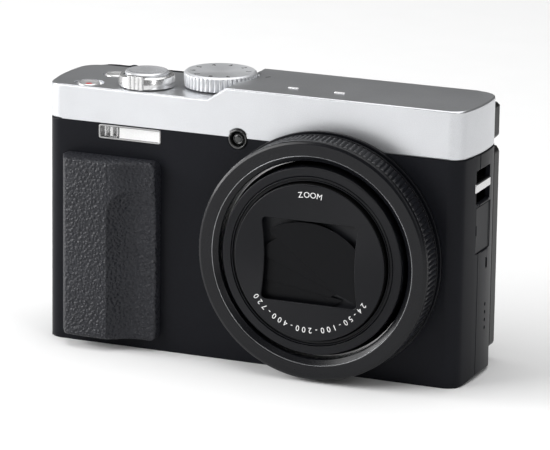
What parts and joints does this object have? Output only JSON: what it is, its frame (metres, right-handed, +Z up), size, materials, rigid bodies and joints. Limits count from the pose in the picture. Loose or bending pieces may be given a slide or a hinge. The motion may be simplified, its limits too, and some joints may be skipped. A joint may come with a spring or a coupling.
{
  "type": "compact digital camera",
  "caption": "Compact zoom camera: black casing with silver top cover, collapsing lens barrels behind a bladed barrier, control ring, dials, grip, viewfinder and tilting screen.",
  "frame": {"origin": "middle of the bounding box in plan, on the surface the camera stands on", "axes": "+X along the body towards the lens end, +Y from the lens towards the screen, +Z up; the lens looks along -Y"},
  "size_m": [0.113, 0.0416, 0.0702],
  "materials": {
    "black_casing": "satin black paint",
    "silver_cover": "fine satin silver paint",
    "frame_metal": "plain sheet metal",
    "board": "solder mask",
    "sensor": "dark glass-covered chip",
    "lens_black": "satin black anodised",
    "cam_metal": "satin",
    "gear_plastic": "moulded",
    "lens_glass": "coated lens glass",
    "blade_metal": "matt black",
    "grip_rubber": "leather-grained rubber",
    "flash_clear": "clear moulded window",
    "reflector": "bright",
    "capacitor_sleeve": "shrink sleeve",
    "lamp_lens": "dark lens",
    "silver_control": "spun satin",
    "brass_shaft": "turned",
    "spring_steel": "plain",
    "dark_plastic": "fine satin",
    "finder_plastic": "matt",
    "hinge_steel": "blackened",
    "screen_plastic": "satin",
    "screen_glass": "gloss, screen off",
    "port_metal": "stamped",
    "eyelet_metal": "polished",
    "battery_case": "moulded",
    "card_plastic": "moulded",
    "bush_metal": "turned",
    "screw_steel": "black oxide"
  },
  "bodies": {
    "camera": {"front_casing": "black_casing", "rear_casing": "black_casing", "top_cover": "silver_cover", "chassis": "frame_metal", "main_board": "board", "image_sensor": "sensor", "lens_base": "lens_black", "lens_flange": "lens_black", "front_bezel": "lens_black", "zoom_motor": "frame_metal", "grip_skin": "grip_rubber", "flash_window": "flash_clear", "flash_reflector": "reflector", "flash_capacitor": "capacitor_sleeve", "af_lamp": "lamp_lens", "mode_dial_shaft": "brass_shaft", "shutter_spring": "spring_steel", "microphones": "dark_plastic", "viewfinder_housing": "finder_plastic", "eyepiece_lens": "lens_glass", "viewfinder_display": "sensor", "screen_hinge_plate": "hinge_steel", "screen_hinge_pins": "spring_steel", "usb_port": "port_metal", "hdmi_port": "port_metal", "strap_eyelet": "eyelet_metal", "battery": "battery_case", "memory_card": "card_plastic", "door_pin": "spring_steel", "tripod_bush": "bush_metal", "speaker": "dark_plastic", "screws": "screw_steel"},
    "cam": {"cam_ring": "cam_metal"},
    "pinion": {"zoom_pinion": "gear_plastic"},
    "tube_1": {"barrel_1": "lens_black"},
    "tube_2": {"barrel_2": "lens_black"},
    "tube_3": {"barrel_3": "lens_black", "name_ring": "lens_black", "front_element": "lens_glass"},
    "blade_1": {"barrier_blade_1": "blade_metal"},
    "blade_2": {"barrier_blade_2": "blade_metal"},
    "blade_3": {"barrier_blade_3": "blade_metal"},
    "blade_4": {"barrier_blade_4": "blade_metal"},
    "ring": {"control_ring": "lens_black"},
    "dial": {"mode_dial": "silver_control"},
    "lever": {"zoom_lever": "silver_control"},
    "shutter": {"shutter_button": "silver_control"},
    "record": {"record_button": "silver_control"},
    "power": {"power_button": "silver_control"},
    "screen": {"screen_frame": "screen_plastic", "screen_glass": "screen_glass"},
    "wheel": {"rear_dial": "dark_plastic"},
    "set": {"set_button": "dark_plastic"},
    "play": {"play_button": "dark_plastic"},
    "display": {"display_button": "dark_plastic"},
    "delete": {"delete_button": "dark_plastic"},
    "lock": {"lock_button": "dark_plastic"},
    "port_flap": {"port_cover": "black_casing"},
    "door": {"battery_door": "black_casing"},
    "latch": {"door_latch": "dark_plastic"}
  },
  "joints": [
    {"name": "cam_turn", "type": "hinge", "parent": "camera", "child": "cam", "pos_m": [0.02, 0, 0.0308], "axis": [0, -1, 0], "range_deg": [0, 130]},
    {"name": "pinion_turn", "type": "hinge", "parent": "camera", "child": "pinion", "pos_m": [-0.0058, 0, 0.0417], "axis": [0, -1, 0], "range_deg": [-1600, 20]},
    {"name": "tube_1_out", "type": "slide", "parent": "camera", "child": "tube_1", "axis": [0, -1, 0], "range_m": [0, 0.015]},
    {"name": "tube_2_out", "type": "slide", "parent": "tube_1", "child": "tube_2", "axis": [0, -1, 0], "range_m": [0, 0.015]},
    {"name": "tube_3_out", "type": "slide", "parent": "tube_2", "child": "tube_3", "axis": [0, -1, 0], "range_m": [0, 0.015]},
    {"name": "blade_1_open", "type": "hinge", "parent": "tube_3", "child": "blade_1", "pos_m": [0.0352, 0, 0.0246], "axis": [0, 1, 0], "range_deg": [0, 30]},
    {"name": "blade_2_open", "type": "hinge", "parent": "tube_3", "child": "blade_2", "pos_m": [0.0352, 0, 0.0246], "axis": [0, 1, 0], "range_deg": [0, 40]},
    {"name": "blade_3_open", "type": "hinge", "parent": "tube_3", "child": "blade_3", "pos_m": [0.0048, 0, 0.0255], "axis": [0, 1, 0], "range_deg": [0, 30]},
    {"name": "blade_4_open", "type": "hinge", "parent": "tube_3", "child": "blade_4", "pos_m": [0.0048, 0, 0.0255], "axis": [0, 1, 0], "range_deg": [0, 22]},
    {"name": "control_ring_turn", "type": "hinge", "parent": "camera", "child": "ring", "pos_m": [0.02, 0, 0.0308], "axis": [0, -1, 0], "continuous": true},
    {"name": "mode_dial_turn", "type": "hinge", "parent": "camera", "child": "dial", "pos_m": [-0.0148, 0.0047, 0.066], "axis": [0, 0, 1], "continuous": true},
    {"name": "zoom_lever_turn", "type": "hinge", "parent": "camera", "child": "lever", "pos_m": [-0.0319, -0.002, 0.066], "axis": [0, 0, 1], "range_deg": [-20, 20], "stiffness_Nm_per_rad": 0.01},
    {"name": "shutter_press", "type": "slide", "parent": "camera", "child": "shutter", "axis": [0, 0, -1], "range_m": [0, 0.0008], "stiffness_N_per_m": 400, "springref_m": -0.001},
    {"name": "record_press", "type": "slide", "parent": "camera", "child": "record", "axis": [0, 0, -1], "range_m": [0, 0.0004], "stiffness_N_per_m": 300, "springref_m": -0.001},
    {"name": "power_press", "type": "slide", "parent": "camera", "child": "power", "axis": [0, 0, -1], "range_m": [0, 0.0004], "stiffness_N_per_m": 300, "springref_m": -0.001},
    {"name": "screen_tilt", "type": "hinge", "parent": "camera", "child": "screen", "pos_m": [0, 0.0199, 0.0556], "axis": [1, 0, 0], "range_deg": [0, 180]},
    {"name": "rear_dial_turn", "type": "hinge", "parent": "camera", "child": "wheel", "pos_m": [-0.0413, 0.02, 0.0195], "axis": [0, -1, 0], "continuous": true},
    {"name": "set_press", "type": "slide", "parent": "camera", "child": "set", "axis": [0, -1, 0], "range_m": [0, 0.0004], "stiffness_N_per_m": 300, "springref_m": -0.001},
    {"name": "play_press", "type": "slide", "parent": "camera", "child": "play", "axis": [0, -1, 0], "range_m": [0, 0.0004], "stiffness_N_per_m": 300, "springref_m": -0.001},
    {"name": "display_press", "type": "slide", "parent": "camera", "child": "display", "axis": [0, -1, 0], "range_m": [0, 0.0004], "stiffness_N_per_m": 300, "springref_m": -0.001},
    {"name": "delete_press", "type": "slide", "parent": "camera", "child": "delete", "axis": [0, -1, 0], "range_m": [0, 0.0004], "stiffness_N_per_m": 300, "springref_m": -0.001},
    {"name": "lock_press", "type": "slide", "parent": "camera", "child": "lock", "axis": [0, -1, 0], "range_m": [0, 0.0004], "stiffness_N_per_m": 300, "springref_m": -0.001},
    {"name": "port_cover_turn", "type": "hinge", "parent": "camera", "child": "port_flap", "pos_m": [0.0551, 0.00775, 0.038], "axis": [0, 0, 1], "range_deg": [0, 90]},
    {"name": "battery_door_turn", "type": "hinge", "parent": "camera", "child": "door", "pos_m": [-0.0182, 0.002, 0.00095], "axis": [0, -1, 0], "range_deg": [0, 85]},
    {"name": "door_latch_slide", "type": "slide", "parent": "door", "child": "latch", "axis": [1, 0, 0], "range_m": [0, 0.002]}
  ],
  "couplings": [
    {"joint": "cam_turn", "follows": "tube_1_out", "rad_per_m": 151.26},
    {"joint": "pinion_turn", "follows": "tube_1_out", "rad_per_m": -1815.1},
    {"joint": "tube_2_out", "follows": "tube_1_out", "ratio": 1},
    {"joint": "tube_3_out", "follows": "tube_1_out", "ratio": 1},
    {"joint": "blade_2_open", "follows": "blade_1_open", "ratio": 1.3332},
    {"joint": "blade_3_open", "follows": "blade_1_open", "ratio": 0.9999},
    {"joint": "blade_4_open", "follows": "blade_1_open", "ratio": 0.7332}
  ]
}
